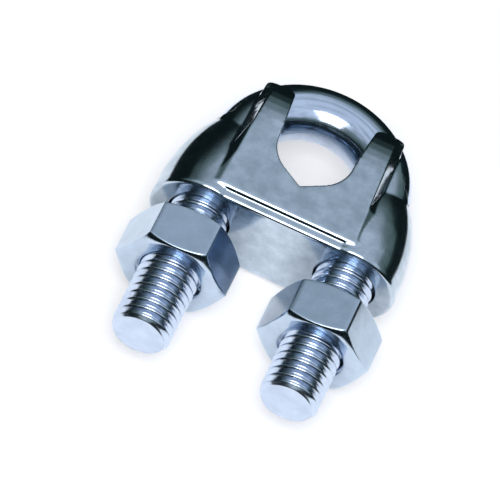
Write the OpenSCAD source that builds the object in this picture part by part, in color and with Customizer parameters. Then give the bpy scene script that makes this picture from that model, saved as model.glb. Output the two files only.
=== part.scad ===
// Wire rope clip: a forged saddle held on a U-bolt by two hexagon nuts.
// Frame: the clip lies on its back. +Z is the front plate's normal, +Y runs along the
// legs towards the bow, and the origin is the middle of the rope seat's axis.

/* [Rope seat] */
// Diameter of the rope that the seat is made for
rope_d = 10; // [9:0.5:11]
// Half angle of the V notch at the bottom of the seat, measured at the seat's axis
notch_angle = 32; // [28:1:34]
// Half width of the rope slot at the tips of the wings
slot_top_half = 5.6; // [5.6:0.1:6]

/* [U-bolt] */
// Diameter of the plain rod that the U-bolt is bent from
rod_d = 7.2; // [6.8:0.1:7.3]
// Distance between the centre lines of the two legs
leg_spacing = 20; // [19.5:0.1:21]
// Height of the bow's centre above the rope seat's axis
bow_lift = 0.7; // [0.4:0.1:1]
// Length of each leg, from the bow's centre to its end
leg_length = 32.4; // [30:0.1:36]
// Length of the threaded stretch of each leg
thread_length = 22; // [18:0.5:22]
// Major diameter of the M8 thread
thread_d = 7.84; // [7.7:0.02:7.96]
// Root diameter of the M8 thread
root_d = 6.5; // [6.4:0.1:6.8]
// Pitch of the M8 thread
pitch = 1.25; // [1.25:0.25:1.5]
// Size of the chamfer on the end of each leg
end_chamfer = 0.5; // [0.2:0.1:0.9]

/* [Saddle] */
// Height of the saddle's underside, measured down from the bow's centre
underside_drop = 12.6; // [12:0.1:13.5]
// Radius of the boss round each leg at its foot
boss_r = 6.75; // [6.5:0.05:7]
// Radius of the curve by which each boss narrows towards the bow
boss_curve_r = 23.5; // [22:0.5:26]
// Half thickness of the saddle's base
base_half = 6.4; // [6.2:0.1:6.6]
// Half thickness of the saddle across its raised plates
plate_half = 7; // [6.8:0.1:7.2]
// Half width of a raised plate at its lower end
plate_foot_half = 9.25; // [9:0.05:9.5]
// Half width of a raised plate at the tips of its wings
plate_tip_half = 8.5; // [8.3:0.05:8.7]
// Height of a raised plate's lower end, measured down from the bow's centre
plate_drop = 11.4; // [11:0.1:11.8]
// Height of the wing tips above the bow's centre
wing_rise = 8.6; // [8:0.1:9]
// Radius of the curve by which the wings lean back towards the bow
wing_curve_r = 14.5; // [14:0.5:18]
// Diameter of the two holes that the legs run through
leg_hole_d = 8.3; // [8.1:0.1:8.6]
// Width of the channel between the wings that the bow drops into
channel_w = 7.5; // [7.4:0.1:7.8]
// Height of the channel's floor above the bow's centre
channel_floor = 2; // [1.5:0.1:2.2]
// Radius on the saddle's lower edges
edge_r = 0.5; // [0.3:0.1:0.7]

/* [Nuts] */
// Width of a nut across its flats
nut_af = 13; // [12.7:0.1:13]
// Thickness of a nut
nut_h = 6.5; // [6.1:0.1:6.8]
// Diameter of the plain hole that stands for a nut's M8 thread
nut_hole_d = 8; // [7.98:0.01:8.06]
// Diameter of the countersink at both ends of the thread
nut_sink_d = 8.9; // [8.5:0.1:9.2]
// Height of the left nut's lower face, measured down from the bow's centre
nut_left_drop = 22.7; // [19.2:0.1:30]
// Height of the right nut's lower face, measured down from the bow's centre
nut_right_drop = 24.3; // [19.2:0.1:30]
// Angle of the left nut about its leg
nut_left_turn = -3; // [-30:1:30]
// Angle of the right nut about its leg
nut_right_turn = -7; // [-30:1:30]

/* [Hidden] */
$fn = 96;
eps = 0.01;
rope_r = rope_d / 2;
rod_r = rod_d / 2;
leg_x = leg_spacing / 2;
thread_r = thread_d / 2;
root_r = root_d / 2;
underside_y = bow_lift - underside_drop;
wing_y = bow_lift + wing_rise;
leg_end_y = bow_lift - leg_length;
turns = floor(thread_length / pitch) - 1;
plate_foot_y = bow_lift - plate_drop;
narrowing_y = underside_y + 2.6;
// How far past tangency the notch's sides cut into the round seat, in degrees
notch_bite = 4;
// Length of the cuts that run right through the saddle
reach = 60;
// Height of the slab between the two bosses
base_h = 5;
// Radius on a raised plate's lower lip, and on the corners of the wing tips
lip_r = 0.6;
tip_r = 1.2;
// Width of a raised plate's sloping sides, and how far they run into the boss
skirt_w = 1.1;
skirt_depth = 0.1;
// Height above the saddle's middle at which a raised plate starts
plate_root = 1;
// The hood beside each wing: its radius, inward shift, straight foot and angle of bend
hood_r = 4.7;
hood_shift = 0.6;
hood_foot = 1.2;
hood_angle = 41;

// Turns a shape drawn along +Z so that it stands along +Y.
module along_y() {
    rotate([-90, 0, 0])
        children();
}

// A leg's half section: radius across, distance from the leg's end up.
module leg_section() {
    crest = pitch / 8;
    groove = pitch - crest;
    rings = [
        for (i = [1 : turns], p = [[0, thread_r], [groove / 2, root_r], [groove, thread_r]])
            [p[1], i * pitch + p[0]]
    ];
    polygon(concat(
        [[0, 0], [thread_r - end_chamfer, 0], [thread_r, end_chamfer]],
        rings,
        [
            [thread_r, thread_length - (thread_r - rod_r)],
            [rod_r, thread_length],
            [rod_r, leg_length],
            [0, leg_length]
        ]
    ));
}

// The half ring that joins the two legs.
module bow() {
    translate([0, bow_lift, 0])
        rotate_extrude(angle = 180)
            translate([leg_x, 0])
                circle(r = rod_r);
}

module u_bolt() {
    color("lightsteelblue")
        union() {
            for (side = [-1, 1])
                translate([side * leg_x, leg_end_y, 0])
                    along_y()
                        rotate_extrude()
                            leg_section();
            bow();
        }
}

// A boss's half section: straight foot, rounded lower edge, and a curve that narrows upwards.
module boss_section() {
    foot_h = narrowing_y - underside_y;
    difference() {
        intersection() {
            square([boss_r, channel_floor - underside_y + bow_lift]);
            union() {
                square([boss_r, foot_h]);
                translate([boss_r - boss_curve_r, foot_h])
                    circle(r = boss_curve_r, $fn = 180);
            }
        }
        difference() {
            translate([boss_r - edge_r, -eps])
                square([edge_r + eps, edge_r + eps]);
            translate([boss_r - edge_r, edge_r])
                circle(r = edge_r, $fn = 48);
        }
    }
}

module boss() {
    along_y()
        rotate_extrude()
            boss_section();
}

// The slab between the two bosses, with its front and back lower edges rounded.
module base() {
    rotate([90, 0, 90])
        linear_extrude(leg_spacing, center = true)
            difference() {
                translate([underside_y, -base_half])
                    square([base_h, 2 * base_half]);
                for (side = [-1, 1])
                    translate([underside_y, side * base_half])
                        scale([1, -side])
                            lower_edge();
            }
}

// The corner that a rounded lower edge takes away, with the corner itself at the origin.
module lower_edge() {
    difference() {
        translate([-eps, -eps])
            square(edge_r + eps);
        translate([edge_r, edge_r])
            circle(r = edge_r, $fn = 48);
    }
}

// Radius of a boss at a height y in the part's frame.
function boss_radius(y) =
    boss_r - boss_curve_r + sqrt(boss_curve_r ^ 2 - max(0, y - narrowing_y) ^ 2);

// Height of a raised plate's face: a rounded lower lip, a flat, and a lean back to the tip.
function plate_face(y) =
    y < plate_foot_y + lip_r
        ? plate_half - lip_r + sqrt(max(0, lip_r ^ 2 - (plate_foot_y + lip_r - y) ^ 2))
        : plate_half - wing_curve_r + sqrt(wing_curve_r ^ 2 - max(0, y - bow_lift) ^ 2);

// Half width of a raised plate: it narrows evenly, and its tips have round corners.
function plate_width(y) =
    plate_foot_half
        - (plate_foot_half - plate_tip_half) * (y - plate_foot_y) / (wing_y - plate_foot_y)
        - tip_r + sqrt(tip_r ^ 2 - max(0, y - wing_y + tip_r) ^ 2);

// Half of a raised plate's cross section, from its face down to inside the saddle.
function plate_section(y) =
    let (
        w = plate_width(y),
        face = plate_face(y),
        foot = min(face, max(boss_radius(y), hood_r)) - skirt_depth
    )
        [
            [w, y, face],
            [w + skirt_w, y, foot],
            [w + skirt_w, y, plate_root],
            [-w - skirt_w, y, plate_root],
            [-w - skirt_w, y, foot],
            [-w, y, face]
        ];

// A raised plate with its two wings, before the slot is cut out of it.
module raised_plate() {
    lip_steps = [for (a = [0 : 30 : 60]) plate_foot_y + lip_r * (1 - cos(a))];
    face_steps = [for (i = [0 : 2]) plate_foot_y + lip_r + i * (bow_lift - plate_foot_y - lip_r) / 2];
    wing_steps = [for (i = [1 : 6]) bow_lift + i * (wing_rise - tip_r) / 6];
    tip_steps = [for (a = [20 : 20 : 80]) wing_y - tip_r + tip_r * sin(a)];
    stations = concat(lip_steps, face_steps, wing_steps, tip_steps);
    loft([for (y = stations) plate_section(y)]);
}

// Joins cross sections with the same number of points into one solid.
module loft(sections) {
    n = len(sections[0]);
    last = len(sections) - 1;
    polyhedron(
        points = [for (s = sections, p = s) p],
        faces = concat(
            [[for (i = [0 : n - 1]) i]],
            [[for (i = [n - 1 : -1 : 0]) last * n + i]],
            [
                for (k = [0 : last - 1], i = [0 : n - 1])
                    [k * n + i, (k + 1) * n + i, (k + 1) * n + (i + 1) % n, k * n + (i + 1) % n]
            ]
        ),
        convexity = 4
    );
}

// The wall that follows the bow's front and back beside the wings, as a full ring section.
module hood() {
    translate([0, bow_lift, 0]) {
        rotate_extrude(angle = hood_angle)
            translate([leg_x - hood_shift, 0])
                circle(r = hood_r);
        translate([leg_x - hood_shift, -hood_foot, 0])
            along_y()
                cylinder(r = hood_r, h = hood_foot);
    }
}

// The slot's edge where it rounds off a wing's inner corner.
function slot_edge(a) =
    [slot_top_half + tip_r * (1 - cos(a)), wing_y - tip_r + tip_r * sin(a)];

// The slot for the rope: a round seat with a V notch, open upwards between the wings.
module rope_slot() {
    flare = [0, 22, 43, 62];
    notch_x = rope_r * sin(notch_angle + notch_bite);
    notch_y = rope_r * cos(notch_angle + notch_bite);
    linear_extrude(reach, center = true)
        union() {
            circle(r = rope_r);
            polygon([
                [-rope_r, 0],
                [rope_r, 0],
                each [for (a = flare) slot_edge(a)],
                [slot_edge(flare[3])[0], reach],
                [-slot_edge(flare[3])[0], reach],
                each [for (i = [3 : -1 : 0]) [-slot_edge(flare[i])[0], slot_edge(flare[i])[1]]]
            ]);
            polygon([
                [0, -rope_r / cos(notch_angle)],
                [notch_x, -notch_y],
                [0, 0],
                [-notch_x, -notch_y]
            ]);
        }
}

// The channel for the bow, and the holes for the legs.
module u_bolt_space() {
    floor_y = bow_lift + channel_floor;
    translate([-reach / 2, floor_y, -channel_w / 2])
        cube([reach, reach, channel_w]);
    for (side = [-1, 1])
        translate([side * leg_x, underside_y - 1, 0])
            along_y()
                cylinder(d = leg_hole_d, h = reach);
}

module saddle() {
    color("lightsteelblue")
        difference() {
            union() {
                base();
                for (side = [0, 1])
                    mirror([0, 0, side])
                        raised_plate();
                for (side = [0, 1])
                    mirror([side, 0, 0]) {
                        translate([leg_x, underside_y, 0])
                            boss();
                        hood();
                    }
            }
            rope_slot();
            u_bolt_space();
        }
}

// A hexagon nut that stands along +Z, chamfered at both ends and in its hole.
module nut() {
    corner_r = nut_af / sqrt(3);
    face_r = 0.475 * nut_af;
    chamfer_h = (corner_r - face_r) * tan(30);
    sink_h = (nut_sink_d - nut_hole_d) / 2;
    difference() {
        intersection() {
            cylinder(r = corner_r, h = nut_h, $fn = 6);
            union() {
                cylinder(r1 = face_r, r2 = corner_r, h = chamfer_h);
                translate([0, 0, chamfer_h])
                    cylinder(r = corner_r, h = nut_h - 2 * chamfer_h);
                translate([0, 0, nut_h - chamfer_h])
                    cylinder(r1 = corner_r, r2 = face_r, h = chamfer_h);
            }
        }
        translate([0, 0, -eps])
            cylinder(d = nut_hole_d, h = nut_h + 2 * eps);
        translate([0, 0, -eps])
            cylinder(d1 = nut_sink_d + 2 * eps, d2 = nut_hole_d, h = sink_h + eps);
        translate([0, 0, nut_h - sink_h])
            cylinder(d1 = nut_hole_d, d2 = nut_sink_d + 2 * eps, h = sink_h + eps);
    }
}

module nut_on_leg(side, drop, turn) {
    color("silver")
        translate([side * leg_x, bow_lift - drop, 0])
            along_y()
                rotate([0, 0, turn])
                    nut();
}

module nut_left() {
    nut_on_leg(-1, nut_left_drop, nut_left_turn);
}

module nut_right() {
    nut_on_leg(1, nut_right_drop, nut_right_turn);
}

u_bolt();
saddle();
nut_left();
nut_right();
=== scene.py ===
"""A wire rope clip lying on its back: a polished saddle on a threaded U-bolt, with two nuts.

Everything is in metres, in the frame of the CAD model: +Z out of the front plate, +Y towards
the bow. The script measures the CAD nodes and builds finer meshes in their place.
"""

import math

import bmesh
import bpy
import numpy as np
from mathutils import Matrix, Vector


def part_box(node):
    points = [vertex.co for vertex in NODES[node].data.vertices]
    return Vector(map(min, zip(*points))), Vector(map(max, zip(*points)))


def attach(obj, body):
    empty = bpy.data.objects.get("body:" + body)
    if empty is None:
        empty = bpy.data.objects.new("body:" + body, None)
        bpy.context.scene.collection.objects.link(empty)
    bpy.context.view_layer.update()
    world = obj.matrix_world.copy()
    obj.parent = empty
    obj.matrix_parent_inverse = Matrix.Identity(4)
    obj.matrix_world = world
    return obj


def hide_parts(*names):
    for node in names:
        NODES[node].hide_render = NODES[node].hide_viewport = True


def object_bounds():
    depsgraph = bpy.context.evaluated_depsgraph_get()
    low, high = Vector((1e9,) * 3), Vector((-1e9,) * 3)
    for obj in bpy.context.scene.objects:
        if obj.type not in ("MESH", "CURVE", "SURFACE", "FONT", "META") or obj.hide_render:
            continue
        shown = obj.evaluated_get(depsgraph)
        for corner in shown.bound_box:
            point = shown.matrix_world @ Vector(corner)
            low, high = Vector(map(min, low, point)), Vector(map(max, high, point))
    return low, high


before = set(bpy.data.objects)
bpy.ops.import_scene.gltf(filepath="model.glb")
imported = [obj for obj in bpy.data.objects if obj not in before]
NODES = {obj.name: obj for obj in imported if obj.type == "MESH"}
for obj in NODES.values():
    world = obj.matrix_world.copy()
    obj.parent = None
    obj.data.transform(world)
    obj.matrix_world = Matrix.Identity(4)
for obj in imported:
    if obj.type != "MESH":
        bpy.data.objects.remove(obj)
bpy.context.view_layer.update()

MM = 0.001

# The M8 thread, as it is cut on the legs and in the nuts.
PITCH = 1.25 * MM
THREAD_R = 3.92 * MM
THREAD_DEPTH = 0.62 * MM
THREAD_GAP = 0.06 * MM
THREAD_ROWS = 18
RUN_OUT = 1.5 * PITCH
# The flank lies between these places on a wave that is 0 mid root and 1 mid crest.
ROOT_WAVE = 0.10
CREST_WAVE = 0.92

# The plain rod and the nuts.
ROD_R = 3.6 * MM
END_CHAMFER = 0.55 * MM
NUT_FLATS = 13.0 * MM
NUT_SINK_R = 4.45 * MM
NUT_EDGE = 0.13 * MM
NUT_STEPS = 96
ROUND_STEPS = 72
BOW_RINGS = 73

# The saddle's even mesh, how often its edges are melted, and the share of it that is kept.
SADDLE_VOXEL = 0.11 * MM
SADDLE_MELTS = 14
SADDLE_KEPT = 0.35

# The camera's direction, as azimuth, elevation and roll in degrees, and its framing.
VIEW_AZIMUTH = 4.0
VIEW_ELEVATION = 54.78
VIEW_ROLL = 21.41
VIEW_DISTANCE = 600 * MM
VIEW_WIDTH = 62.83 * MM
VIEW_AIM = Vector((0.0, -7.3 * MM, 0.0))
VIEW_OFFSET = (4.24 * MM, 3.25 * MM)

# The lighter and the darker tint of each piece's steel.
ROD_TINTS = ((0.60, 0.69, 0.83), (0.53, 0.61, 0.75))
CAST_TINTS = ((0.56, 0.64, 0.73), (0.41, 0.49, 0.56))
NUT_TINTS = ((0.52, 0.62, 0.74), (0.46, 0.55, 0.66))

# The pale sheet: its half sizes, how far it runs out behind the bow, how square its corners
# are (a circle at 1), and how far it is below the clip, so that the two never share a face.
FLOOR_HALF_X = 95 * MM
FLOOR_HALF_Y = 47 * MM
FLOOR_BACK_Y = 20 * MM
FLOOR_POWER = 0.35
FLOOR_STEPS = 160
FLOOR_DROP = 0.01 * MM

# The sky's colours from the dark horizon, at 0, to the pale ceiling, at 1.
SKY_STOPS = (
    (0.00, (0.006, 0.012, 0.013)),
    (0.25, (0.014, 0.026, 0.026)),
    (0.42, (0.10, 0.15, 0.14)),
    (0.78, (0.18, 0.24, 0.25)),
    (1.00, (0.68, 0.76, 0.88)),
)


def leg_centres():
    """The x of the left and the right leg's centre line."""
    return [sum(c.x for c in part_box(n)) / 2 for n in ("nut_left", "nut_right")]


U_LOW, U_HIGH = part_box("u_bolt")
LEFT_X, RIGHT_X = leg_centres()
BOW_R = (RIGHT_X - LEFT_X) / 2
BOW_Y = U_HIGH.y - BOW_R - ROD_R
LEG_END_Y = U_LOW.y
THREAD_LENGTH = 22 * MM
THREAD_TOP_Y = LEG_END_Y + THREAD_LENGTH


# ---------------------------------------------------------------- mesh helpers


def new_object(name, verts, faces, smooth=True):
    """A mesh object with its normals turned outwards."""
    mesh = bpy.data.meshes.new(name)
    mesh.from_pydata([tuple(v) for v in verts], [], faces)
    tidy = bmesh.new()
    tidy.from_mesh(mesh)
    bmesh.ops.remove_doubles(tidy, verts=tidy.verts, dist=1e-7)
    bmesh.ops.recalc_face_normals(tidy, faces=tidy.faces)
    tidy.to_mesh(mesh)
    tidy.free()
    mesh.polygons.foreach_set("use_smooth", [smooth] * len(mesh.polygons))
    obj = bpy.data.objects.new(name, mesh)
    bpy.context.scene.collection.objects.link(obj)
    return obj


def grid_faces(rows, columns, wrap_rows=False):
    """The quads of a grid whose columns close on themselves."""
    last = rows if wrap_rows else rows - 1
    return [
        (
            r * columns + c,
            r * columns + (c + 1) % columns,
            (r + 1) % rows * columns + (c + 1) % columns,
            (r + 1) % rows * columns + c,
        )
        for r in range(last)
        for c in range(columns)
    ]


def smoothstep(t):
    """An even step from 0 to 1, level at both ends."""
    t = np.clip(t, 0.0, 1.0)
    return t * t * (3 - 2 * t)


def thread_height(y, turn):
    """0 at the thread's root and 1 at its crest, for a right-handed thread.

    y is the place along +Y and turn the right-handed angle about +Y, as a share of a turn.
    """
    wave = np.abs(2 * np.mod(y / PITCH - turn, 1.0) - 1)
    flank = np.clip((wave - ROOT_WAVE) / (CREST_WAVE - ROOT_WAVE), 0.0, 1.0)
    return 0.15 * flank + 0.85 * smoothstep(flank)


# ---------------------------------------------------------------- the U-bolt


def leg_radius(y, turn):
    """The leg's radius: end chamfer, thread, run-out, and plain rod."""
    thread = THREAD_R - THREAD_DEPTH * (1 - thread_height(y, turn))
    chamfer = THREAD_R - END_CHAMFER + y - LEG_END_Y
    run_out = smoothstep((y - THREAD_TOP_Y + RUN_OUT) / RUN_OUT)
    return np.minimum(thread, chamfer) * (1 - run_out) + ROD_R * run_out


def leg_ring(side, y, angles):
    """One ring of a leg. angles run from the outward side towards +Z."""
    out, up = side * np.cos(angles), np.sin(angles)
    turn = np.arctan2(out, up) / (2 * math.pi)
    r = leg_radius(y, turn)
    return np.stack([side * BOW_R + r * out, np.full_like(r, y), r * up], 1)


def end_rings(side, angles):
    """The flat face at a leg's end, from its middle outwards."""
    rings = []
    for share in (0.0, 0.3, 0.6, 0.85, 0.96):
        ring = leg_ring(side, LEG_END_Y, angles)
        centre = np.array([side * BOW_R, LEG_END_Y, 0.0])
        rings.append(centre + (ring - centre) * share)
    return rings


def bow_ring(turn, angles):
    """One ring of the bow, at an angle from +X towards +Y."""
    out = np.array([math.cos(turn), math.sin(turn), 0.0])
    centre = np.array([0.0, BOW_Y, 0.0]) + BOW_R * out
    up = np.array([0.0, 0.0, 1.0])
    return centre + ROD_R * (np.cos(angles)[:, None] * out + np.sin(angles)[:, None] * up)


def build_u_bolt():
    """Both legs and the bow as one tube of rings, from the left leg's end to the right's."""
    angles = np.arange(ROUND_STEPS) * 2 * math.pi / ROUND_STEPS
    thread_ys = np.arange(LEG_END_Y, THREAD_TOP_Y, PITCH / THREAD_ROWS)
    rod_ys = np.linspace(THREAD_TOP_Y, BOW_Y, 8, endpoint=False)
    leg = list(thread_ys) + list(rod_ys)
    rings = end_rings(-1, angles)
    rings += [leg_ring(-1, y, angles) for y in leg]
    rings += [bow_ring(a, angles) for a in np.linspace(math.pi, 0, BOW_RINGS)]
    rings += [leg_ring(1, y, angles) for y in reversed(leg)]
    rings += list(reversed(end_rings(1, angles)))
    verts = np.concatenate(rings)
    return new_object("u_bolt_rod", verts, grid_faces(len(rings), ROUND_STEPS))


# ---------------------------------------------------------------- the nuts


def hex_radius(angle, flats):
    """Distance from the axis to a hexagon's side at an angle from one of its corners."""
    sector = np.mod(angle, math.pi / 3) - math.pi / 6
    return flats / 2 / np.cos(sector)


def nut_profile(angle, turn, height):
    """The nut's closed half section at one angle, as (radius, height) pairs."""
    face_r = 0.475 * NUT_FLATS
    side_r = hex_radius(angle, NUT_FLATS)
    drop = max(0.0, (side_r - face_r) * math.tan(math.radians(30)))
    rows = int(height / PITCH * 12)
    points = []
    for i in range(rows + 1):
        y = height * i / rows
        wall = THREAD_R + THREAD_GAP - THREAD_DEPTH * float(thread_height(y, turn + 0.5))
        sink = NUT_SINK_R - min(y, height - y)
        points.append((max(wall, sink), y))
    rim = min(face_r, side_r)
    points += [(NUT_SINK_R + (rim - NUT_SINK_R) * t, height) for t in (0.3, 0.7, 0.97)]
    points += [(rim, height)]
    dome = ((0.3, 0.17), (0.6, 0.42), (0.85, 0.74), (1.0, 1.0))
    points += [(rim + (side_r - rim) * t, height - drop * d) for t, d in dome]
    inner = height - 2 * drop
    points += [(side_r, height - drop - inner * t) for t in (0.05, 0.35, 0.65, 0.95, 1.0)]
    points += [(rim + (side_r - rim) * t, drop * d) for t, d in reversed(dome[:-1])]
    points += [(rim, 0.0)]
    points += [(NUT_SINK_R + (rim - NUT_SINK_R) * t, 0.0) for t in (0.97, 0.7, 0.3)]
    return points


def nut_corner_angle(node):
    """The angle of one corner of a CAD nut, from +X towards -Z, about its own axis."""
    low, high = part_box(node)
    centre_x = (low.x + high.x) / 2
    far = max(NODES[node].data.vertices, key=lambda v: math.hypot(v.co.x - centre_x, v.co.z))
    return math.atan2(-far.co.z, far.co.x - centre_x)


def build_nut(node, x):
    """A nut on a leg, with chamfered corners, countersinks and its thread."""
    low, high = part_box(node)
    height = high.y - low.y
    corner = nut_corner_angle(node)
    verts, count = [], 0
    for k in range(NUT_STEPS):
        angle = 2 * math.pi * k / NUT_STEPS
        around = angle + corner
        turn = (around + math.pi / 2) / (2 * math.pi) - low.y / PITCH
        section = nut_profile(angle, turn, height)
        count = len(section)
        for r, y in section:
            verts.append((x + r * math.cos(around), low.y + y, -r * math.sin(around)))
    nut = new_object(node + "_hex", verts, grid_faces(NUT_STEPS, count, wrap_rows=True))
    bevel = nut.modifiers.new("edge_break", "BEVEL")
    bevel.width = NUT_EDGE
    bevel.segments = 2
    bevel.limit_method = "ANGLE"
    bevel.angle_limit = math.radians(24)
    return nut


# ---------------------------------------------------------------- the saddle


def apply_modifiers(obj):
    """Bakes an object's modifiers into its mesh."""
    graph = bpy.context.evaluated_depsgraph_get()
    mesh = bpy.data.meshes.new_from_object(obj.evaluated_get(graph))
    old = obj.data
    obj.modifiers.clear()
    obj.data = mesh
    bpy.data.meshes.remove(old)


def build_saddle():
    """The CAD saddle with its edges melted round, as a polished casting has them.

    An even mesh is smoothed, then thinned where it is flat.
    """
    mesh = NODES["saddle"].data.copy()
    saddle = bpy.data.objects.new("saddle_casting", mesh)
    bpy.context.scene.collection.objects.link(saddle)
    remesh = saddle.modifiers.new("even", "REMESH")
    remesh.mode = "VOXEL"
    remesh.voxel_size = SADDLE_VOXEL
    melt = saddle.modifiers.new("melt", "SMOOTH")
    melt.factor = 0.5
    melt.iterations = SADDLE_MELTS
    thin = saddle.modifiers.new("thin", "DECIMATE")
    thin.ratio = SADDLE_KEPT
    apply_modifiers(saddle)
    mesh = saddle.data
    mesh.materials.clear()
    mesh.polygons.foreach_set("use_smooth", [True] * len(mesh.polygons))
    return saddle


# ---------------------------------------------------------------- materials


def shader_graph(name):
    """A material with an empty node tree but for Principled and Output."""
    mat = bpy.data.materials.new(name)
    mat.use_nodes = True
    tree = mat.node_tree
    return mat, tree, tree.nodes["Principled BSDF"]


def noise(tree, scale, detail, rough=0.55):
    """A noise texture in object space, in features per metre."""
    node = tree.nodes.new("ShaderNodeTexNoise")
    node.inputs["Scale"].default_value = scale
    node.inputs["Detail"].default_value = detail
    node.inputs["Roughness"].default_value = rough
    place = tree.nodes.new("ShaderNodeTexCoord").outputs["Object"]
    tree.links.new(place, node.inputs["Vector"])
    return node.outputs["Fac"]


def ramp(tree, value, low, high, from_min=0.0, from_max=1.0):
    """value between from_min and from_max, spread from low to high."""
    node = tree.nodes.new("ShaderNodeMapRange")
    node.inputs["From Min"].default_value = from_min
    node.inputs["From Max"].default_value = from_max
    node.inputs["To Min"].default_value = low
    node.inputs["To Max"].default_value = high
    tree.links.new(value, node.inputs["Value"])
    return node.outputs["Result"]


def blend_values(tree, share, a, b):
    """a where share is 0 and b where share is 1."""
    node = tree.nodes.new("ShaderNodeMix")
    tree.links.new(share, node.inputs["Factor"])
    tree.links.new(a, node.inputs["A"])
    tree.links.new(b, node.inputs["B"])
    return node.outputs["Result"]


def blend_colours(tree, share, a, b):
    """Colour a where share is 0 and colour b where share is 1."""
    node = tree.nodes.new("ShaderNodeMix")
    node.data_type = "RGBA"
    tree.links.new(share, node.inputs["Factor"])
    node.inputs["A"].default_value = (*a, 1)
    node.inputs["B"].default_value = (*b, 1)
    return node.outputs["Result"]


def bump(tree, shader, height, distance):
    """Small waves in the surface, distance high where height is 1."""
    node = tree.nodes.new("ShaderNodeBump")
    node.inputs["Strength"].default_value = 1.0
    node.inputs["Distance"].default_value = distance
    tree.links.new(height, node.inputs["Height"])
    tree.links.new(node.outputs["Normal"], shader.inputs["Normal"])


def facing(tree, axis, start, full):
    """1 where the surface faces along the object's axis, 0 where it doesn't."""
    normal = tree.nodes.new("ShaderNodeTexCoord").outputs["Normal"]
    split = tree.nodes.new("ShaderNodeSeparateXYZ")
    tree.links.new(normal, split.inputs["Vector"])
    size = tree.nodes.new("ShaderNodeMath")
    size.operation = "ABSOLUTE"
    tree.links.new(split.outputs[axis], size.inputs[0])
    return ramp(tree, size.outputs["Value"], 0.0, 1.0, start, full)


def dull_thread(tree, shader):
    """Makes the threaded stretch of the U-bolt a little duller than its bow."""
    place = tree.nodes.new("ShaderNodeTexCoord").outputs["Object"]
    split = tree.nodes.new("ShaderNodeSeparateXYZ")
    tree.links.new(place, split.inputs["Vector"])
    on_thread = ramp(tree, split.outputs["Y"], 1.0, 0.0, THREAD_TOP_Y, THREAD_TOP_Y + PITCH)
    smooth = shader.inputs["Roughness"].links[0].from_socket
    rough = ramp(tree, noise(tree, 1500.0, 4.0), 0.15, 0.27, 0.3, 0.7)
    rougher = tree.nodes.new("ShaderNodeMath")
    rougher.operation = "MAXIMUM"
    tree.links.new(smooth, rougher.inputs[0])
    tree.links.new(rough, rougher.inputs[1])
    mixed = blend_values(tree, on_thread, smooth, rougher.outputs["Value"])
    tree.links.new(mixed, shader.inputs["Roughness"])


def polished_steel(name, satin_axis, satin_range, roughness, tints, wobble):
    """Bright stainless steel whose flats along one axis are satin and a little cloudy.

    satin_range is how squarely a surface must face the axis to start being satin and to be
    fully so, roughness the satin's range, and wobble the height of the surface's waves.
    """
    mat, tree, shader = shader_graph(name)
    shader.inputs["Metallic"].default_value = 1.0
    satin = facing(tree, satin_axis, *satin_range)
    clouds = noise(tree, 420.0, 7.0, 0.62)
    grain = noise(tree, 5200.0, 3.0)
    bright = ramp(tree, grain, 0.10, 0.17, 0.3, 0.7)
    dull = ramp(tree, clouds, *roughness, 0.3, 0.7)
    tree.links.new(blend_values(tree, satin, bright, dull), shader.inputs["Roughness"])
    cloud_share = ramp(tree, clouds, 0.0, 1.0, 0.36, 0.64)
    tree.links.new(blend_colours(tree, cloud_share, *tints), shader.inputs["Base Color"])
    waves = blend_values(tree, satin, noise(tree, 420.0, 3.0), noise(tree, 900.0, 5.0, 0.6))
    bump(tree, shader, waves, wobble)
    return mat


def dress(obj, mat, body, node):
    """Gives a piece its material, puts it under its CAD body and hides the CAD node it
    stands for.
    """
    obj.data.materials.clear()
    obj.data.materials.append(mat)
    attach(obj, body)
    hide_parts(node)


# ---------------------------------------------------------------- the stage


def camera_axes():
    """The camera's right, up and back directions."""
    azimuth, elevation = math.radians(VIEW_AZIMUTH), math.radians(VIEW_ELEVATION)
    roll = math.radians(VIEW_ROLL)
    flat = math.cos(elevation)
    back = Vector((math.sin(azimuth) * flat, -math.cos(azimuth) * flat, math.sin(elevation)))
    level = Vector((math.cos(azimuth), math.sin(azimuth), 0.0))
    rise = back.cross(level)
    right = math.cos(roll) * level + math.sin(roll) * rise
    return right, back.cross(right), back


def add_camera():
    right, up, back = camera_axes()
    camera = bpy.data.objects.new("camera", bpy.data.cameras.new("camera"))
    bpy.context.scene.collection.objects.link(camera)
    place = VIEW_AIM - right * VIEW_OFFSET[0] - up * VIEW_OFFSET[1] + back * VIEW_DISTANCE
    turn = Matrix((right, up, back)).transposed().to_4x4()
    camera.matrix_world = Matrix.Translation(place) @ turn
    camera.data.sensor_width = 36.0
    camera.data.lens = 36.0 * VIEW_DISTANCE / VIEW_WIDTH
    camera.data.clip_start = 0.01
    camera.data.clip_end = 10.0
    bpy.context.scene.camera = camera


def add_floor():
    """A pale sheet under the clip, with rounded corners."""
    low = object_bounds()[0]
    ring = []
    for k in range(FLOOR_STEPS):
        angle = 2 * math.pi * k / FLOOR_STEPS
        c, s = math.cos(angle), math.sin(angle)
        x = math.copysign(abs(c) ** FLOOR_POWER, c) * FLOOR_HALF_X
        y = math.copysign(abs(s) ** FLOOR_POWER, s) * FLOOR_HALF_Y
        ring.append((x, FLOOR_BACK_Y - FLOOR_HALF_Y + y, low[2] - FLOOR_DROP))
    floor = new_object("floor", ring, [tuple(range(FLOOR_STEPS))], smooth=False)
    mat, _, shader = shader_graph("pale_sheet")
    shader.inputs["Roughness"].default_value = 0.9
    shader.inputs["Base Color"].default_value = (0.96, 0.94, 0.93, 1)
    shader.inputs["Emission Color"].default_value = (1.0, 0.96, 0.94, 1)
    shader.inputs["Emission Strength"].default_value = 0.40
    floor.data.materials.append(mat)


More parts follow.
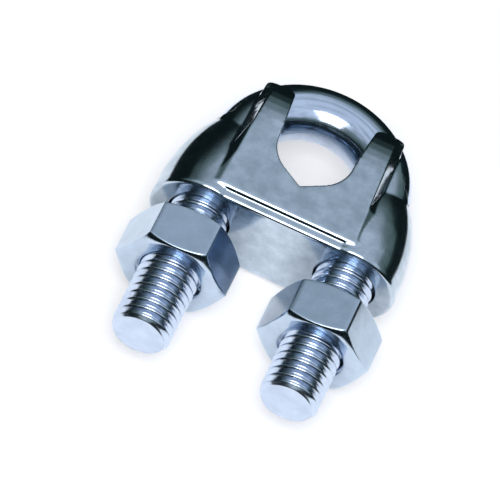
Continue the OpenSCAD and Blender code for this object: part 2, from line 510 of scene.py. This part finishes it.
def add_softbox(name, direction, distance, width, height, power):
    """A soft rectangular lamp that looks at the clip from a direction."""
    data = bpy.data.lights.new(name, "AREA")
    data.shape = "RECTANGLE"
    data.size = width
    data.size_y = height
    data.energy = power
    lamp = bpy.data.objects.new(name, data)
    bpy.context.scene.collection.objects.link(lamp)
    towards = Vector(direction).normalized()
    lamp.location = towards * distance
    lamp.rotation_euler = towards.to_track_quat("Z", "Y").to_euler()


def mottled(tree, value, way):
    """A value with the soft patches of a cluttered room added."""
    patches = tree.nodes.new("ShaderNodeTexNoise")
    patches.inputs["Scale"].default_value = 5.0
    patches.inputs["Detail"].default_value = 4.0
    tree.links.new(way, patches.inputs["Vector"])
    add = tree.nodes.new("ShaderNodeMath")
    add.operation = "ADD"
    add.use_clamp = True
    tree.links.new(value, add.inputs[0])
    tree.links.new(ramp(tree, patches.outputs["Fac"], -0.14, 0.14, 0.3, 0.7), add.inputs[1])
    return add.outputs["Value"]


def add_world():
    """A studio: a pale ceiling, a dark horizon, and a white backdrop to the eye."""
    world = bpy.data.worlds.new("studio")
    bpy.context.scene.world = world
    world.use_nodes = True
    tree = world.node_tree
    sky = tree.nodes["Background"]
    split = tree.nodes.new("ShaderNodeSeparateXYZ")
    way = tree.nodes.new("ShaderNodeTexCoord").outputs["Generated"]
    tree.links.new(way, split.inputs["Vector"])
    height = split.outputs["Z"]
    behind = ramp(tree, split.outputs["Y"], 0.0, 1.0, 0.0, 0.35)
    near_edge = ramp(tree, height, 0.0, 1.0, 0.36, 0.62)
    far_edge = ramp(tree, height, 0.0, 1.0, 0.02, 0.66)
    open_edge = blend_values(tree, behind, near_edge, far_edge)
    left = ramp(tree, split.outputs["X"], 1.0, 0.0, -0.30, -0.12)
    screened = ramp(tree, height, 0.0, 1.0, 0.40, 0.86)
    shade = blend_values(tree, left, open_edge, screened)
    edge = mottled(tree, shade, way)
    colours = tree.nodes.new("ShaderNodeValToRGB")
    for i, (place, colour) in enumerate(SKY_STOPS):
        stops = colours.color_ramp.elements
        stop = stops[i] if i < 2 else stops.new(place)
        stop.position = place
        stop.color = (*colour, 1)
    tree.links.new(edge, colours.inputs["Fac"])
    tree.links.new(colours.outputs["Color"], sky.inputs["Color"])
    plain = tree.nodes.new("ShaderNodeBackground")
    plain.inputs["Color"].default_value = (1, 1, 1, 1)
    seen = tree.nodes.new("ShaderNodeLightPath").outputs["Is Camera Ray"]
    mix = tree.nodes.new("ShaderNodeMixShader")
    tree.links.new(seen, mix.inputs["Fac"])
    tree.links.new(sky.outputs["Background"], mix.inputs[1])
    tree.links.new(plain.outputs["Background"], mix.inputs[2])
    tree.links.new(mix.outputs["Shader"], tree.nodes["World Output"].inputs["Surface"])


def add_lights():
    add_softbox("front_softbox", (0.0, -0.54, 0.84), 300 * MM, 150 * MM, 200 * MM, 0.42)


def main():
    scene = bpy.context.scene
    scene.view_settings.view_transform = "Standard"
    add_camera()
    rod_steel = polished_steel(
        "rod_steel", "Y", (0.9, 0.99), (0.28, 0.42), ROD_TINTS, 0.008 * MM
    )
    dull_thread(rod_steel.node_tree, rod_steel.node_tree.nodes["Principled BSDF"])
    cast_steel = polished_steel(
        "cast_steel", "Z", (0.90, 0.985), (0.22, 0.36), CAST_TINTS, 0.010 * MM
    )
    nut_steel = polished_steel(
        "nut_steel", "Z", (0.60, 0.85), (0.24, 0.34), NUT_TINTS, 0.010 * MM
    )
    dress(build_u_bolt(), rod_steel, "u_bolt", "u_bolt")
    dress(build_saddle(), cast_steel, "saddle", "saddle")
    dress(build_nut("nut_left", LEFT_X), nut_steel, "nut_left", "nut_left")
    dress(build_nut("nut_right", RIGHT_X), nut_steel, "nut_right", "nut_right")
    add_floor()
    add_lights()
    add_world()


main()
